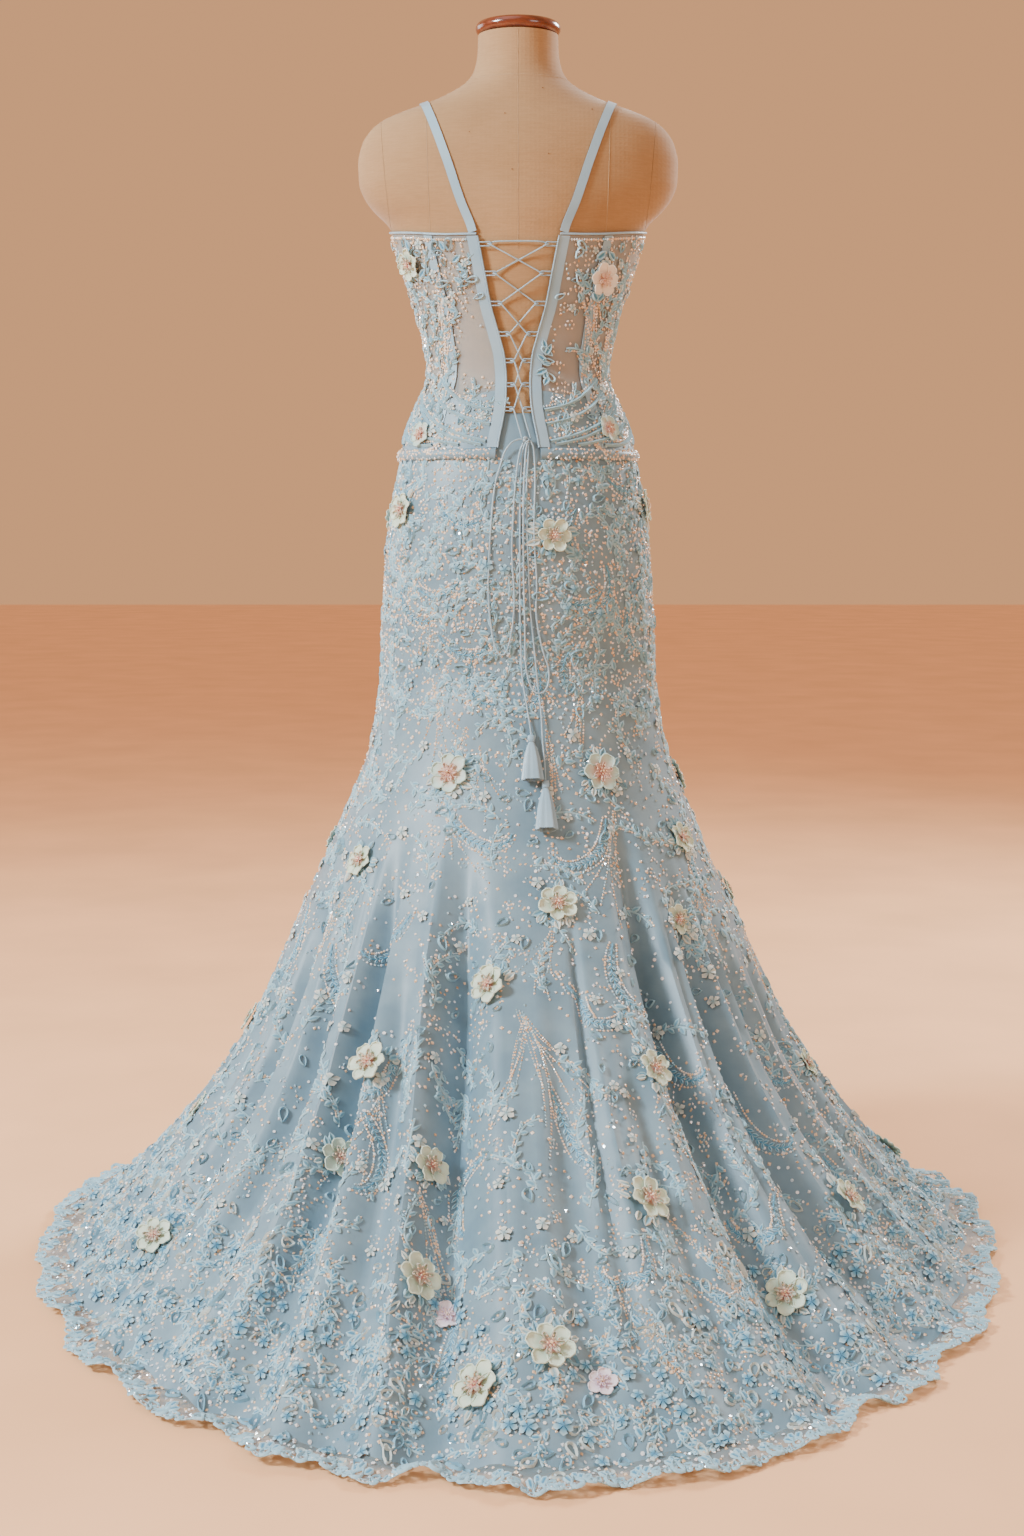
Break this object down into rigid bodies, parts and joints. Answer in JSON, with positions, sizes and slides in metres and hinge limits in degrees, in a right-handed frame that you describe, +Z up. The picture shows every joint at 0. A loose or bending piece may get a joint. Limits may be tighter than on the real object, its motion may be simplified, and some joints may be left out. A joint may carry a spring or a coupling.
{
  "type": "mermaid gown on dress form",
  "caption": "Strapped mermaid gown with a laced corset back, beaded flared skirt and scalloped lace train, worn by a limbless dress form on a round foot.",
  "frame": {"origin": "on the floor, at the centre of the underside of the stand's round foot, under the middle of the dress form", "axes": "+Z up along the pole; the gown's front faces -Y and its laced back and train face +Y; +X is the wearer's left"},
  "size_m": [1.285, 1.3355, 1.5998],
  "materials": {
    "canvas": "plain-woven tan cover cloth of the dress form, matte",
    "wood": "dark red-brown turned wood, lacquered",
    "steel": "satin metal pole and foot",
    "satin": "light blue satin under beaded net",
    "satin_cord": "light blue satin cord",
    "net": "sheer light blue net with lace and beading",
    "lace": "corded light blue lace with sequins and beads",
    "flower": "pale green and pink petals with corded rims"
  },
  "bodies": {
    "root": {"form_torso": "canvas", "form_shoulder_left": "canvas", "form_shoulder_right": "canvas", "form_neck_cap": "wood", "form_pole": "steel", "form_foot": "steel", "corset_front": "net", "corset_side_left": "net", "corset_side_right": "net", "corset_back_left": "net", "corset_back_right": "net", "placket_left": "satin", "placket_right": "satin", "casing_back_left": "satin", "casing_back_right": "satin", "casing_front_left": "satin", "casing_front_right": "satin", "strap_left": "satin", "strap_right": "satin", "loop_tape_left": "satin", "loop_tape_right": "satin", "corset_top_binding": "satin", "corset_hem_band": "lace", "lacing": "satin_cord", "lace_knot": "satin_cord", "bow_left": "satin_cord", "bow_right": "satin_cord", "tail_left": "satin_cord", "tail_right": "satin_cord", "tassel_left": "satin", "tassel_right": "satin", "skirt_back_left": "satin", "skirt_side_back_left": "satin", "skirt_side_front_left": "satin", "skirt_front": "satin", "skirt_side_front_right": "satin", "skirt_side_back_right": "satin", "skirt_back_right": "satin", "hem_lace_back_left": "lace", "hem_lace_side_back_left": "lace", "hem_lace_side_front_left": "lace", "hem_lace_front": "lace", "hem_lace_side_front_right": "lace", "hem_lace_side_back_right": "lace", "hem_lace_back_right": "lace", "flower_top_left": "flower", "flower_top_right": "flower", "flower_hip_left": "flower", "flower_knee_left": "flower", "flower_knee_right": "flower", "flower_high_left": "flower", "flower_high_middle": "flower", "flower_high_right": "flower", "flower_middle": "flower", "flower_low_left": "flower", "flower_low_right": "flower", "flower_train_left": "flower", "flower_train_right": "flower"}
  },
  "joints": []
}
